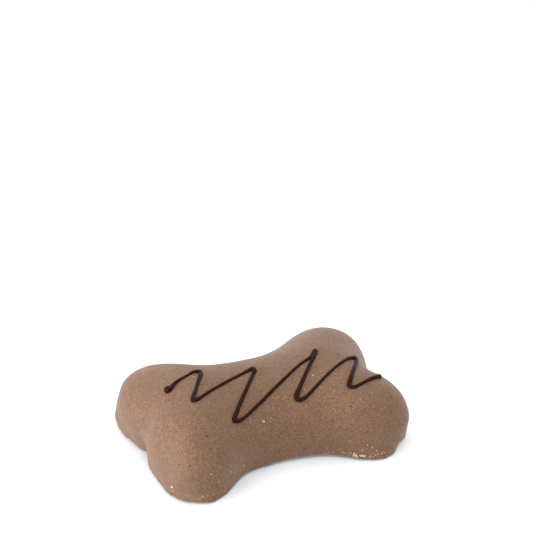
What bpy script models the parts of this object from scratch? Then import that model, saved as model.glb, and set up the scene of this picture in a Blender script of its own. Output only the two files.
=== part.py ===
"""A bone-shaped dog birthday cake: one low, rounded loaf in the form of a bone, coated
all over, with a zigzag line of drizzle piped along its top and set hard on it.

Metres, +Z up. The cake stands on z = 0 with its footprint centred on the origin. The
bone lies along X and its front is towards -Y.

The loaf's skin is where a distance function is zero. That function blends a broad bar
with four lobes, one at each corner. A box cut into a grid is pushed out to that skin.
Each pull of the piping bag is a tube along the skin, with a blob where it turns.
"""

from typing import NamedTuple

import bmesh
import bpy
import numpy as np
from mathutils import Matrix, Vector, noise

MM = 0.001

# The box that is pushed out into the loaf, and how finely it is cut
BOX_LENGTH = 152.0 * MM
BOX_WIDTH = 105.0 * MM
BOX_HEIGHT = 41.0 * MM
CUTS_ALONG = 46
CUTS_ACROSS = 30
CUTS_UP = 11
CUTS_UP_GRADING = 1.5
CORE_REACH = 42.0 * MM
REACH_PAST_BOX = 1.5
HALVINGS = 40
NORMAL_STEP = 0.3 * MM

# The broad bar that runs the length of the bone and bows a little to the back
BAR_HALF_LENGTH = 33.5 * MM
BAR_RADIUS = 34.2 * MM
BAR_HEIGHT = 39.3 * MM
BAR_FULLNESS = 2.03
BAR_BOW = 0.8 * MM
BAR_BOW_SPAN = 53.0 * MM

# The upright flank under each dome, and how softly the forms meet low down and high up
FLANK_HEIGHT = 9.0 * MM
LOBE_FULLNESS = 2.28
LOBE_BLEND_LOW = 3.0 * MM
LOBE_BLEND_HIGH = 24.9 * MM
LOBE_BLEND_RISE = 21.0 * MM
BAR_BLEND_LOW = 31.3 * MM
BAR_BLEND_HIGH = 42.2 * MM
BAR_BLEND_RISE = 29.2 * MM

# The cleft in each end, deepest at the base
CLEFT_START = 65.7 * MM
CLEFT_LENGTH = 9.5 * MM

# The foot where the coating ran down and set, with a shallow groove over it
FOOT_SPREAD = 0.6 * MM
FOOT_HEIGHT = 13.3 * MM
FOOT_SHARPNESS = 7.0
GROOVE_DEPTH = 0.3 * MM
GROOVE_HEIGHT = 10.6 * MM
GROOVE_WIDTH = 3.2 * MM

# The lower edge turns in under the cake, highest and furthest along the waist
EDGE_HEIGHT = 1.7 * MM
EDGE_INSET = 1.6 * MM
WAIST_EDGE_RISE = 1.3 * MM
WAIST_EDGE_INSET = 9.5 * MM
WAIST_MIDDLE = 6.0 * MM
WAIST_HALF_LENGTH = 44.0 * MM

# The flats between the corners lie a little inside the round skin, and this makes up for it
FLATS_ALLOWANCE = 0.2 * MM

# The slightly uneven skin of a cake coated by hand, roughest at its rim
SWELL = 0.35 * MM
SWELL_SPACING = 21.0 * MM
CRAG = 0.5 * MM
CRAG_SPACING = 7.0 * MM
CRAG_HEIGHT = 8.0 * MM

# The drizzle
RING_SPACING = 2.8 * MM
LINE_RISE = 0.22
BLOB_SWELL = 1.06
BLOB_FLATNESS = 0.86
BLOB_ROUNDNESS = 2
TUBE_RADIUS = 1.0 * MM
TUBE_ROUNDNESS = 2
WELD_DISTANCE = 0.01 * MM

CAKE_COLOUR = (0.235, 0.136, 0.088, 1.0)
CAKE_ROUGHNESS = 0.75
DRIZZLE_COLOUR = (0.030, 0.013, 0.009, 1.0)
DRIZZLE_ROUGHNESS = 0.45
SHARP_ANGLE = 0.9

TINY = 1e-6
UP = Vector((0.0, 0.0, 1.0))


class Lobe(NamedTuple):
    """One rounded corner of the bone, in metres. Its stretch is along the bone."""

    x: float
    y: float
    radius: float
    stretch: float
    height: float


class Cleft(NamedTuple):
    """The dip in one end of the bone, in metres. The end is -1 or +1 along X."""

    end: int
    y: float
    width: float
    depth: float
    height: float


class Mark(NamedTuple):
    """A rounded dent or bulge left by hand, in metres. A bulge stands out above zero."""

    x: float
    y: float
    z: float
    spread: float
    rise: float
    out: float


LEFT_LOBES = (
    Lobe(-55.7 * MM, 33.9 * MM, 15.2 * MM, 1.00, 25.3 * MM),
    Lobe(-49.6 * MM, -33.4 * MM, 12.4 * MM, 0.94, 25.6 * MM),
)
RIGHT_LOBES = (
    Lobe(57.8 * MM, 34.7 * MM, 17.5 * MM, 1.00, 26.5 * MM),
    Lobe(53.7 * MM, -36.4 * MM, 12.8 * MM, 1.28, 28.7 * MM),
)
CLEFTS = (
    Cleft(-1, 0.4 * MM, 6.1 * MM, 4.2 * MM, 20.0 * MM),
    Cleft(1, -6.8 * MM, 8.8 * MM, 5.1 * MM, 41.6 * MM),
)

# Dents and bulges: x, y, z, spread, rise and how far each stands out, in millimetres
MARK_ROWS = (
    (-74.6, 34.8, 6.0, 6.0, 5.0, 1.2),
    (-70.7, 38.0, 17.9, 6.0, 5.0, -0.7),
    (-54.4, 42.6, 29.1, 13.0, 9.0, 0.3),
    (-70.4, 13.9, 1.3, 6.0, 9.0, -0.9),
    (-69.0, 6.0, 1.0, 6.0, 6.0, -0.4),
    (-67.3, -24.8, 1.6, 6.0, 5.0, -0.6),
    (-57.3, -43.6, 0.0, 6.0, 5.0, -0.7),
    (-46.3, -47.7, 0.0, 6.0, 5.0, 0.8),
    (-20.4, -33.4, 0.5, 9.0, 5.0, -0.6),
    (27.6, -38.4, 0.0, 13.0, 9.0, -1.0),
    (44.4, -50.4, 0.0, 6.0, 5.0, 0.6),
    (51.5, -51.3, 0.0, 6.0, 5.0, 2.0),
    (65.0, -45.8, 1.0, 6.0, 5.0, -2.4),
    (-6.0, -36.5, 0.0, 28.0, 6.0, -0.9),
    (6.0, -36.5, 0.0, 26.0, 6.0, 1.3),
    (71.9, -41.4, 15.0, 13.0, 5.0, 0.5),
    (60.9, -14.9, 32.2, 6.0, 5.0, -0.5),
    (69.2, 2.9, 21.0, 6.0, 5.0, -0.5),
    (-8.4, 22.1, 33.2, 13.0, 9.0, 0.3),
    (9.0, -30.0, 27.0, 14.0, 12.0, 1.2),
    (28.7, -43.6, 15.4, 14.0, 12.0, -1.0),
    (-10.6, -32.3, 19.2, 14.0, 12.0, 0.8),
    (-39.4, -44.5, 24.9, 8.0, 8.0, 0.7),
    (-63.0, -36.0, 25.3, 12.0, 12.0, -2.5),
    (-66.0, -27.0, 24.0, 12.0, 12.0, -1.5),
    (-57.5, -36.0, 30.0, 8.0, 8.0, 1.3),
    (-59.0, -44.0, 21.0, 7.0, 8.0, 0.5),
    (-58.5, -42.0, 13.0, 9.0, 9.0, 0.3),
    (-66.0, -33.0, 13.0, 9.0, 9.0, -0.4),
    (-67.0, -3.6, 20.0, 8.0, 8.0, -1.2),
    (-64.5, -3.4, 28.0, 7.5, 8.0, -0.9),
)
MARKS = tuple(Mark(*(size * MM for size in row)) for row in MARK_ROWS)

# The strokes of the zigzag: x, y and width of each spot on the way, in millimetres
FIRST_DROP = (-52.0, 1.8, 4.4)
STROKES = (
    (
        (-50.5, 2.0, 2.7),
        (-47.6, 4.5, 2.2),
        (-43.6, 6.4, 1.8),
        (-38.3, 8.5, 1.7),
        (-34.5, 10.5, 2.2),
    ),
    (
        (-31.6, 9.3, 2.7),
        (-32.5, 5.5, 2.5),
        (-35.5, 0.1, 2.2),
        (-39.7, -7.1, 2.0),
    ),
    (
        (-43.4, -14.0, 2.8),
        (-41.6, -14.3, 2.3),
        (-38.7, -13.2, 1.8),
        (-31.1, -9.2, 1.7),
        (-20.5, -4.2, 1.8),
        (-11.6, -0.8, 1.8),
        (-6.7, 0.9, 2.3),
    ),
    (
        (-3.5, 1.5, 2.8),
        (-3.3, -0.4, 2.7),
        (-5.2, -3.1, 2.1),
        (-11.9, -11.0, 2.1),
        (-17.9, -17.9, 2.2),
        (-22.0, -22.8, 2.3),
    ),
    (
        (-26.7, -29.2, 2.6),
        (-23.9, -28.9, 2.3),
        (-20.1, -27.2, 1.8),
        (-12.3, -22.9, 1.9),
        (-3.1, -18.3, 1.9),
        (9.8, -11.6, 1.8),
        (22.5, -4.6, 1.6),
        (31.0, -1.0, 2.1),
    ),
    (
        (34.7, 2.2, 3.2),
        (32.9, -0.9, 2.5),
        (27.2, -7.1, 2.1),
        (19.4, -15.4, 2.2),
        (15.4, -19.6, 2.4),
    ),
    (
        (10.8, -25.0, 2.9),
        (12.6, -26.4, 2.5),
        (15.5, -26.2, 2.1),
        (19.0, -24.9, 1.9),
        (27.8, -20.8, 1.7),
        (36.9, -16.2, 1.6),
        (45.4, -11.3, 1.7),
        (51.5, -7.8, 2.2),
    ),
    (
        (55.9, -6.1, 2.6),
        (54.9, -9.3, 2.4),
        (52.3, -13.6, 2.3),
        (46.6, -21.1, 2.2),
        (42.4, -26.4, 2.5),
    ),
    (
        (39.5, -30.6, 2.7),
        (41.2, -32.2, 2.2),
        (44.8, -31.9, 1.9),
        (50.3, -30.2, 2.1),
        (58.6, -26.9, 2.9),
        (59.8, -26.4, 3.2),
    ),
)


def smooth_step(value):
    """0 below 0, 1 above 1, and a smooth rise between."""
    value = np.clip(value, 0.0, 1.0)
    return value * value * (3.0 - 2.0 * value)


def blended(first, second, reach):
    """The lesser of two distances, rounded where they are within reach of each other."""
    near = np.maximum(reach - np.abs(first - second), 0.0) / reach
    return np.minimum(first, second) - near * near * reach / 4.0


def dome_distance(across, up, radius, height, fullness):
    """Rough distance to a dome, whose side view is a super-ellipse."""
    across_part = (across / radius) ** fullness
    up_part = (up / height) ** fullness
    size = (across_part + up_part) ** (1.0 / fullness) + TINY
    growth = size ** (1.0 - fullness)
    slope_across = growth * across_part / np.maximum(across, TINY)
    slope_up = growth * up_part / np.maximum(up, TINY)
    return (size - 1.0) / (np.hypot(slope_across, slope_up) + TINY)


def lobe_distance(lobe, x, y, up):
    across = np.hypot((x - lobe.x) / lobe.stretch, y - lobe.y)
    return dome_distance(across, up, lobe.radius, lobe.height - FLANK_HEIGHT, LOBE_FULLNESS)


def bar_distance(x, y, up):
    past_end = np.maximum(np.abs(x) - BAR_HALF_LENGTH, 0.0)
    off_line = y - BAR_BOW * (1.0 - (x / BAR_BOW_SPAN) ** 2)
    across = np.hypot(past_end, off_line)
    return dome_distance(across, up, BAR_RADIUS, BAR_HEIGHT - FLANK_HEIGHT, BAR_FULLNESS)


def cleft_depth(cleft, x, y, z):
    short_of_end = np.maximum(CLEFT_START - cleft.end * x, 0.0) / CLEFT_LENGTH
    beside = (y - cleft.y) / cleft.width
    fade = np.clip(1.0 - z / cleft.height, 0.0, 1.0)
    return cleft.depth * np.exp(-(beside**2) - short_of_end**2) * fade


def mark_height(mark, x, y, z):
    """How far one dent or bulge stands out at each point."""
    beside = ((x - mark.x) ** 2 + (y - mark.y) ** 2) / mark.spread**2
    return mark.out * np.exp(-beside - ((z - mark.z) / mark.rise) ** 2)


def foot_relief(x, z):
    """How far the skin stands out at the foot, less the groove and the turned-in edge."""
    foot = FOOT_SPREAD / (1.0 + np.exp(FOOT_SHARPNESS * (z / FOOT_HEIGHT - 1.0)))
    groove = GROOVE_DEPTH * np.exp(-(((z - GROOVE_HEIGHT) / GROOVE_WIDTH) ** 2))
    waist = smooth_step(1.0 - np.abs(x - WAIST_MIDDLE) / WAIST_HALF_LENGTH)
    inset = EDGE_INSET + WAIST_EDGE_INSET * waist
    height = EDGE_HEIGHT + WAIST_EDGE_RISE * waist
    edge = inset * np.clip(1.0 - z / height, 0.0, 1.0) ** 2
    return foot - groove - edge


def cake_distance(points):
    """Rough distance from points to the loaf's skin, below zero inside it."""
    x, y, z = points.T
    up = np.maximum(z - FLANK_HEIGHT, 0.0)
    lobe_rise = smooth_step(z / LOBE_BLEND_RISE)
    lobe_blend = LOBE_BLEND_LOW + (LOBE_BLEND_HIGH - LOBE_BLEND_LOW) * lobe_rise
    bar_rise = smooth_step(z / BAR_BLEND_RISE)
    bar_blend = BAR_BLEND_LOW + (BAR_BLEND_HIGH - BAR_BLEND_LOW) * bar_rise
    left, right = (
        blended(*(lobe_distance(lobe, x, y, up) for lobe in pair), lobe_blend)
        for pair in (LEFT_LOBES, RIGHT_LOBES)
    )
    distance = blended(np.minimum(left, right), bar_distance(x, y, up), bar_blend)
    for cleft in CLEFTS:
        distance = distance + cleft_depth(cleft, x, y, z)
    for mark in MARKS:
        distance = distance - mark_height(mark, x, y, z)
    return distance - foot_relief(x, z) - FLATS_ALLOWANCE


def skin_between(inner, outer):
    """Points on the skin, on the way from each inner point to its outer one."""
    way = outer - inner
    low = np.zeros(len(inner))
    high = np.ones(len(inner))
    for _ in range(HALVINGS):
        middle = (low + high) / 2.0
        inside = cake_distance(inner + way * middle[:, None]) < 0.0
        low = np.where(inside, middle, low)
        high = np.where(inside, high, middle)
    return inner + way * low[:, None]


def skin_normals(points):
    """Unit vectors out of the skin."""
    shifts = np.eye(3) * NORMAL_STEP
    slopes = [cake_distance(points + shift) - cake_distance(points - shift) for shift in shifts]
    normals = np.stack(slopes, axis=1)
    return normals / np.linalg.norm(normals, axis=1, keepdims=True)


def unevenness(point):
    """How far the hand-made skin stands off its smooth form at a point."""
    swell = SWELL * noise.noise(point / SWELL_SPACING)
    fade = max(0.0, 1.0 - point.z / CRAG_HEIGHT)
    return swell + CRAG * fade * noise.noise(point / CRAG_SPACING)


def cut_box(block, axis, places):
    """Cuts a box through by planes across one axis."""
    normal = Vector((0.0, 0.0, 0.0))
    normal[axis] = 1.0
    for place in places:
        everything = block.verts[:] + block.edges[:] + block.faces[:]
        bmesh.ops.bisect_plane(block, geom=everything, plane_co=normal * place, plane_no=normal)


def even_cuts(length, pieces):
    return [length * (index / pieces - 0.5) for index in range(1, pieces)]


def graded_cuts(height, pieces):
    """Cuts up from zero that are closest together at the base."""
    return [height * (index / pieces) ** CUTS_UP_GRADING for index in range(1, pieces)]


def push_out(block):
    """Moves every corner of the cut box out to the loaf's skin."""
    corners = np.array([vert.co for vert in block.verts])
    core = np.zeros_like(corners)
    core[:, 0] = np.clip(corners[:, 0], -CORE_REACH, CORE_REACH)
    outer = core + (corners - core) * REACH_PAST_BOX
    skin = skin_between(core, outer)
    for vert, place, normal in zip(block.verts, skin, skin_normals(skin)):
        vert.co = place
        bump = Vector(normal) * unevenness(vert.co)
        bump.z = 0.0 if place[2] < TINY else bump.z
        vert.co += bump


def close_base(block):
    """Closes the flat base with one face, cut into triangles."""
    rim = [edge for edge in block.edges if edge.is_boundary]
    base = bmesh.ops.contextual_create(block, geom=rim)["faces"]
    bmesh.ops.triangulate(block, faces=base, ngon_method="BEAUTY")
    bmesh.ops.recalc_face_normals(block, faces=block.faces[:])


def make_loaf(collection, material):
    """The bone-shaped loaf, from a box with an open base."""
    block = bmesh.new()
    size = Matrix.Diagonal((BOX_LENGTH, BOX_WIDTH, BOX_HEIGHT, 1.0))
    bmesh.ops.create_cube(block, size=1.0, matrix=Matrix.Translation(UP * BOX_HEIGHT / 2.0) @ size)
    block.normal_update()
    base = [face for face in block.faces if face.normal.z < -0.5]
    bmesh.ops.delete(block, geom=base, context="FACES_ONLY")
    cut_box(block, 0, even_cuts(BOX_LENGTH, CUTS_ALONG))
    cut_box(block, 1, even_cuts(BOX_WIDTH, CUTS_ACROSS))
    cut_box(block, 2, graded_cuts(BOX_HEIGHT, CUTS_UP))
    push_out(block)
    close_base(block)
    mesh = bpy.data.meshes.new("bone_cake")
    block.to_mesh(mesh)
    block.free()
    mesh.materials.append(material)
    loaf = bpy.data.objects.new("bone_cake", mesh)
    collection.objects.link(loaf)
    return loaf


def on_skin(places):
    """Points of the skin over places on plan, and the normals there."""
    low = np.array([(x, y, 0.0) for x, y in places])
    skin = skin_between(low, low + np.array(UP) * BOX_HEIGHT * REACH_PAST_BOX)
    return skin, skin_normals(skin)


def piped_line():
    """One smooth line through every spot, cut where each stroke begins.

    Gives a list of rows of x, y and width for each stroke. Each list ends where the next
    stroke begins.
    """
    spots = np.array([spot for stroke in STROKES for spot in stroke]) * MM
    runs = np.hypot(*np.diff(spots[:, :2], axis=0).T)
    knots = np.concatenate([[0.0], np.cumsum(np.sqrt(runs))])
    slopes = np.gradient(spots, knots, axis=0)
    pieces = []
    for index, run in enumerate(runs):
        way = np.linspace(0.0, 1.0, max(1, round(run / RING_SPACING)), endpoint=False)[:, None]
        span = knots[index + 1] - knots[index]
        rise = way * way * (3.0 - 2.0 * way)
        leaving = slopes[index] * span * way * (1.0 - way) ** 2
        arriving = slopes[index + 1] * span * way * way * (way - 1.0)
        pieces.append(spots[index] * (1.0 - rise) + spots[index + 1] * rise + leaving + arriving)
    starts = np.cumsum([0] + [len(stroke) for stroke in STROKES])
    lines = []
    for first, last in zip(starts[:-1], starts[1:]):
        end = min(last, len(spots) - 1)
        lines.append(np.concatenate([*pieces[first:end], spots[end : end + 1]]))
    return lines


def tube_mesh(tube):
    """The closed mesh of a tube curve, its caps welded on."""
    evaluated = tube.evaluated_get(bpy.context.evaluated_depsgraph_get())
    mesh = bpy.data.meshes.new_from_object(evaluated)
    welded = bmesh.new()
    welded.from_mesh(mesh)
    bmesh.ops.remove_doubles(welded, verts=welded.verts[:], dist=WELD_DISTANCE)
    bmesh.ops.recalc_face_normals(welded, faces=welded.faces[:])
    welded.to_mesh(mesh)
    welded.free()
    return mesh


def add_stroke(name, line, collection, material):
    """One pull of the piping bag, as a tube that lies along the skin."""
    widths = line[:, 2]
    skin, normals = on_skin(line[:, :2])
    curve = bpy.data.curves.new(name, "CURVE")
    curve.dimensions = "3D"
    curve.bevel_depth = TUBE_RADIUS
    curve.bevel_resolution = TUBE_ROUNDNESS
    curve.use_fill_caps = True
    spline = curve.splines.new("POLY")
    spline.points.add(len(line) - 1)
    for point, place, width in zip(spline.points, skin + normals * widths[:, None] * LINE_RISE, widths):
        point.co = (*place, 1.0)
        point.radius = width / 2.0 / TUBE_RADIUS
    tube = bpy.data.objects.new(name + "_line", curve)
    collection.objects.link(tube)
    solid = bpy.data.objects.new(name, tube_mesh(tube))
    solid.matrix_world = tube.matrix_world
    solid.data.materials.clear()
    solid.data.materials.append(material)
    collection.objects.link(solid)
    bpy.data.objects.remove(tube)


def add_blob(name, spot, collection, material):
    """The flattened blob of drizzle at one turn or end."""
    x, y, width = (size * MM for size in spot)
    skin, normals = on_skin([(x, y)])
    centre = Vector(skin[0] + normals[0] * width * LINE_RISE)
    turn = Vector(normals[0]).to_track_quat("Z", "Y").to_matrix().to_4x4()
    flat = Matrix.Diagonal((1.0, 1.0, BLOB_FLATNESS, 1.0))
    blob = bmesh.new()
    matrix = Matrix.Translation(centre) @ turn @ flat
    radius = width / 2.0 * BLOB_SWELL
    bmesh.ops.create_icosphere(blob, subdivisions=BLOB_ROUNDNESS, radius=radius, matrix=matrix)
    mesh = bpy.data.meshes.new(name)
    blob.to_mesh(mesh)
    blob.free()
    mesh.materials.append(material)
    collection.objects.link(bpy.data.objects.new(name, mesh))


def add_drizzle(collection, material):
    add_blob("first_drop", FIRST_DROP, collection, material)
    for index, (stroke, line) in enumerate(zip(STROKES, piped_line())):
        add_stroke(f"stroke_{index}", line, collection, material)
        add_blob(f"blob_{index}", stroke[0], collection, material)
    add_blob("blob_last", STROKES[-1][-1], collection, material)


def fuse(loaf, collection):
    """Joins everything in a collection to the loaf, then removes the collection."""
    join = loaf.modifiers.new("drizzle", "BOOLEAN")
    join.operation = "UNION"
    join.operand_type = "COLLECTION"
    join.collection = collection
    join.solver = "EXACT"
    join.material_mode = "TRANSFER"
    graph = bpy.context.evaluated_depsgraph_get()
    fused = bpy.data.meshes.new_from_object(loaf.evaluated_get(graph))
    loaf.modifiers.remove(join)
    loaf.data = fused
    fused.name = loaf.name
    for obj in list(collection.objects):
        bpy.data.objects.remove(obj)
    bpy.data.collections.remove(collection)


def centre_footprint(loaf):
    """Moves the mesh so that its footprint is centred on the origin."""
    corners = np.array([vert.co for vert in loaf.data.vertices])
    middle = (corners.min(axis=0) + corners.max(axis=0)) / 2.0
    loaf.data.transform(Matrix.Translation((-middle[0], -middle[1], 0.0)))


def finish(name, colour, roughness):
    """A Principled material of one colour."""
    material = bpy.data.materials.new(name)
    material.use_nodes = True
    shader = material.node_tree.nodes["Principled BSDF"]
    shader.inputs["Base Color"].default_value = colour
    shader.inputs["Roughness"].default_value = roughness
    shader.inputs["Metallic"].default_value = 0.0
    material.diffuse_color = colour
    return material


def new_collection(name):
    collection = bpy.data.collections.new(name)
    bpy.context.scene.collection.children.link(collection)
    return collection


def main():
    for obj in list(bpy.data.objects):
        bpy.data.objects.remove(obj, do_unlink=True)
    coating = finish("carob_coating", CAKE_COLOUR, CAKE_ROUGHNESS)
    drizzle = finish("dark_drizzle", DRIZZLE_COLOUR, DRIZZLE_ROUGHNESS)
    loaf = make_loaf(new_collection("dog_birthday_cake"), coating)
    piped = new_collection("piped_drizzle")
    add_drizzle(piped, drizzle)
    fuse(loaf, piped)
    centre_footprint(loaf)
    loaf.data.shade_smooth()
    loaf.data.set_sharp_from_angle(angle=SHARP_ANGLE)


main()
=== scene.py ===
"""The looks of a bone-shaped dog birthday cake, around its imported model.

The loaf is rebuilt finely from the same named sizes as the model's solid, in the same
frame, and gets the grain of its matt coating. The drizzle is a separate piece in its
own colour, and so is each kind of fleck and crumb that lies in the coating. The set is
a plain white floor and soft studio lights, with the camera at the photograph's angle.
"""

import logging
import math
from dataclasses import dataclass
from enum import Enum
from typing import Any, Iterable

import bpy
import numpy as np
from mathutils import Euler, Matrix, Vector, noise


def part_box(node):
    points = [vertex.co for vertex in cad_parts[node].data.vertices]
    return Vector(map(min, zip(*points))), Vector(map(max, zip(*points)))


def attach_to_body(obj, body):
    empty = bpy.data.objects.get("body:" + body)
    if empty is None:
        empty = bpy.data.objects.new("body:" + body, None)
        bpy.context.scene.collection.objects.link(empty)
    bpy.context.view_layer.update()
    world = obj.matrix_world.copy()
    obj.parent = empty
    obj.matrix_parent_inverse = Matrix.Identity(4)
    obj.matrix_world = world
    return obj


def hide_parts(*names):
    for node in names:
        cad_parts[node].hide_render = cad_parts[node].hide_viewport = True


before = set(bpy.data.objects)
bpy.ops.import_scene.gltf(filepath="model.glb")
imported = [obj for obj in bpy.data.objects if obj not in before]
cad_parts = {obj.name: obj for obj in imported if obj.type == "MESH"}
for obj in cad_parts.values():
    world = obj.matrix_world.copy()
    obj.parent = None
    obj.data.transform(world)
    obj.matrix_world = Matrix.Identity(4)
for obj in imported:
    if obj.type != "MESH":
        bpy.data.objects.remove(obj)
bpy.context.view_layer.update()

log = logging.getLogger("dog_cake")

# A place's x and y, and how wide something is there in mm. The drizzle's places are on
# plan in mm, and the grains' places are pixels of the photograph.
Spot = tuple[float, float, float]

MM = 0.001
TINY = 1e-6
CAKE_NODE = "bone_cake"
BODY = "root"
DOWNWARD = -0.5
PHOTO_SIDE = 533


def linear(hex_colour: str) -> tuple[float, float, float, float]:
    """Turns an sRGB hex colour into a linear one.

    Args:
        hex_colour: Six hex digits after a hash mark.

    Returns:
        Linear red, green and blue, and an alpha of 1.
    """
    parts = [int(hex_colour[i : i + 2], 16) / 255.0 for i in (1, 3, 5)]
    bright = [p / 12.92 if p <= 0.04045 else ((p + 0.055) / 1.055) ** 2.4 for p in parts]
    return (*bright, 1.0)


def per_metre(size_mm: float) -> float:
    """The texture scale that makes a feature this many millimetres wide."""
    return 1000.0 / size_mm


def smooth_step(value: np.ndarray) -> np.ndarray:
    """0 below 0, 1 above 1, and a smooth rise between."""
    value = np.clip(value, 0.0, 1.0)
    return value * value * (3.0 - 2.0 * value)


def blended(first: np.ndarray, second: np.ndarray, reach: np.ndarray) -> np.ndarray:
    """The lesser of two distances, rounded where they are within reach of each other."""
    near = np.maximum(reach - np.abs(first - second), 0.0) / reach
    return np.minimum(first, second) - near * near * reach / 4.0


def deselect_all() -> None:
    """Leaves edit mode and deselects everything, the model's own nodes among it."""
    if bpy.context.object and bpy.context.object.mode != "OBJECT":
        bpy.ops.object.mode_set(mode="OBJECT")
    bpy.ops.object.select_all(action="DESELECT")


def select_only(*objects: bpy.types.Object) -> None:
    """Selects these objects and makes the first one active.

    Args:
        objects: The objects to select.
    """
    deselect_all()
    for obj in objects:
        obj.select_set(True)
    bpy.context.view_layer.objects.active = objects[0]


def coordinates(mesh: bpy.types.Mesh) -> np.ndarray:
    """Reads the places of a mesh's corners.

    Args:
        mesh: The mesh.

    Returns:
        One row of x, y and z for each corner, in metres.
    """
    flat = np.empty(len(mesh.vertices) * 3, np.float32)
    mesh.vertices.foreach_get("co", flat)
    return flat.reshape(-1, 3).astype(float)


def place_coordinates(mesh: bpy.types.Mesh, places: np.ndarray) -> None:
    """Moves a mesh's corners to the given places, in metres."""
    mesh.vertices.foreach_set("co", places.astype(np.float32).ravel())
    mesh.update()


def way_out(azimuth: float, elevation: float) -> Vector:
    """The unit vector out of the cake at these angles in degrees, 0 being in front."""
    turn, rise = math.radians(azimuth), math.radians(elevation)
    return Vector((math.sin(turn) * math.cos(rise), -math.cos(turn) * math.cos(rise), math.sin(rise)))


def joined_copies(model: bpy.types.Object, placings: Iterable[Matrix], name: str) -> bpy.types.Object:
    """Copies a model to each placing, joins the copies and removes the model.

    Args:
        model: The model to copy.
        placings: Where each copy goes, how it is turned and how large it is.
        name: The joined piece's name.

    Returns:
        The joined piece, selected.
    """
    copies = []
    for placing in placings:
        copy = model.copy()
        copy.data = model.data.copy()
        bpy.context.collection.objects.link(copy)
        copy.matrix_world = placing
        copies.append(copy)
    bpy.data.objects.remove(model, do_unlink=True)
    select_only(*copies)
    bpy.ops.object.join()
    piece = bpy.context.object
    piece.name = piece.data.name = name
    bpy.ops.object.transform_apply(location=True, rotation=True, scale=True)
    return piece


@dataclass(frozen=True)
class Lobe:
    """One rounded corner of the bone, in metres. Its stretch is along the bone."""

    x: float
    y: float
    radius: float
    stretch: float
    height: float


@dataclass(frozen=True)
class Cleft:
    """The dip in one end of the bone, in metres. The end is -1 or +1 along X."""

    end: int
    y: float
    width: float
    depth: float
    height: float


@dataclass(frozen=True)
class Mark:
    """A rounded dent or bulge left by hand, in metres. A bulge stands out above zero."""

    x: float
    y: float
    z: float
    spread: float
    rise: float
    out: float


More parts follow.
